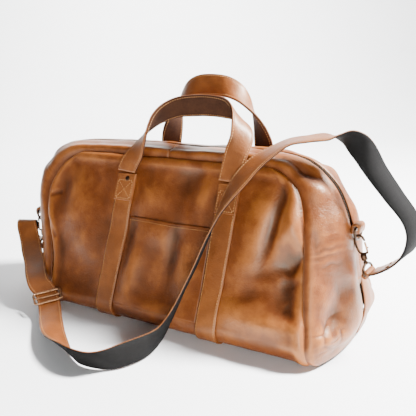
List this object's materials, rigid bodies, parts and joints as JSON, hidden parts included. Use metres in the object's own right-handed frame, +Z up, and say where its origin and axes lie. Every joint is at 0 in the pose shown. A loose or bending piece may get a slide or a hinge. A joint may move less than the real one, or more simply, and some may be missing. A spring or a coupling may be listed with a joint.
{
  "type": "weekender bag",
  "caption": "Soft leather travel bag with a rolled gusset, zip top, twin strap handles and a detachable adjustable shoulder strap on swivel hooks.",
  "frame": {"origin": "middle of the bag's box on the floor plane, measured without the free shoulder strap", "axes": "+X to the bag's right end as the front is looked at, +Y from the front to the rear, +Z up; the base straps rest on Z = 0"},
  "size_m": [0.7624, 0.4535, 0.4129],
  "materials": {
    "leather": "full-grain tan leather, waxed, soft sheen",
    "leather_dark": "tan leather, underside, duller",
    "webbing": "black woven webbing with a tan leather face",
    "cloth": "dark brown cotton lining and zip tape",
    "board": "grey stiffener board",
    "dark_brass": "antique dark brass",
    "copper_brass": "antique brass, worn to copper on the edges",
    "zip_metal": "antique brass zip teeth"
  },
  "bodies": {
    "bag": {"base_board": "board", "base_panel": "leather_dark", "base_strap_left": "leather", "base_strap_right": "leather", "front_panel": "leather", "front_pocket": "leather", "handle_end_front_left": "leather", "handle_end_front_right": "leather", "handle_end_rear_left": "leather", "handle_end_rear_right": "leather", "handle_rivet_front_left": "dark_brass", "handle_rivet_front_right": "dark_brass", "handle_rivet_rear_left": "dark_brass", "handle_rivet_rear_right": "dark_brass", "inner_pocket": "cloth", "left_anchor_loop": "leather", "left_anchor_tab": "leather", "left_gusset_front": "leather", "left_gusset_rear": "leather", "left_strap_eye": "dark_brass", "left_strap_fold": "leather", "lining_front": "cloth", "lining_rear": "cloth", "rear_panel": "leather", "right_anchor_loop": "leather", "right_anchor_tab": "leather", "right_gusset_front": "leather", "right_gusset_rear": "leather", "right_strap_eye": "dark_brass", "right_strap_fold": "leather", "shoulder_strap": "webbing", "slider_bar": "copper_brass", "slider_frame": "copper_brass", "strap_return": "webbing", "zip_chain": "zip_metal", "zip_tape_front": "cloth", "zip_tape_rear": "cloth"},
    "front_handle": {"front_handle": "leather"},
    "rear_handle": {"rear_handle": "leather"},
    "zip_slider": {"zip_slider": "copper_brass"},
    "zip_pull": {"zip_pull": "copper_brass"},
    "left_d_ring": {"left_d_ring": "dark_brass"},
    "right_d_ring": {"right_d_ring": "dark_brass"},
    "left_hook": {"left_hook": "dark_brass"},
    "right_hook": {"right_hook": "dark_brass"},
    "left_gate": {"left_gate": "dark_brass"},
    "right_gate": {"right_gate": "dark_brass"}
  },
  "joints": [
    {"name": "front_handle_swing", "type": "hinge", "parent": "bag", "child": "front_handle", "pos_m": [0.02, -0.068, 0.2435], "axis": [1, 0, 0], "range_deg": [0, 12]},
    {"name": "rear_handle_swing", "type": "hinge", "parent": "bag", "child": "rear_handle", "pos_m": [0.02, 0.068, 0.2435], "axis": [1, 0, 0], "range_deg": [-140, 0]},
    {"name": "zip_slide", "type": "hinge", "parent": "bag", "child": "zip_slider", "pos_m": [-0.235, 0, 0.195], "axis": [0, 1, 0], "range_deg": [0, 84]},
    {"name": "zip_pull_swing", "type": "hinge", "parent": "zip_slider", "child": "zip_pull", "pos_m": [-0.33214, 0, 0.19839], "axis": [0, 1, 0], "range_deg": [0, 170]},
    {"name": "left_ring_swing", "type": "hinge", "parent": "bag", "child": "left_d_ring", "pos_m": [-0.32567, -0.04642, 0.14722], "axis": [-0.4206, 0.9072, 0], "range_deg": [-2.5, 4]},
    {"name": "right_ring_swing", "type": "hinge", "parent": "bag", "child": "right_d_ring", "pos_m": [0.31331, -0.00522, 0.18609], "axis": [0.0142, 0.9999, 0], "range_deg": [-4, 1]},
    {"name": "left_hook_swivel", "type": "hinge", "parent": "bag", "child": "left_hook", "pos_m": [-0.32567, -0.04642, 0.09922], "axis": [0, 0, 1], "range_deg": [-15, 15]},
    {"name": "right_hook_swivel", "type": "hinge", "parent": "bag", "child": "right_hook", "pos_m": [0.32357, -0.00537, 0.1399], "axis": [-0.342, 0.0049, 0.9397], "range_deg": [-15, 15]},
    {"name": "left_gate_hinge", "type": "hinge", "parent": "left_hook", "child": "left_gate", "pos_m": [-0.33292, -0.04978, 0.10622], "axis": [-0.4206, 0.9072, 0], "range_deg": [0, 28], "stiffness_Nm_per_rad": 0.003, "springref_deg": -22.92},
    {"name": "right_gate_hinge", "type": "hinge", "parent": "right_hook", "child": "right_gate", "pos_m": [0.32869, -0.00544, 0.14921], "axis": [-0.0142, -0.9999, 0], "range_deg": [0, 28], "stiffness_Nm_per_rad": 0.003, "springref_deg": -22.92}
  ]
}
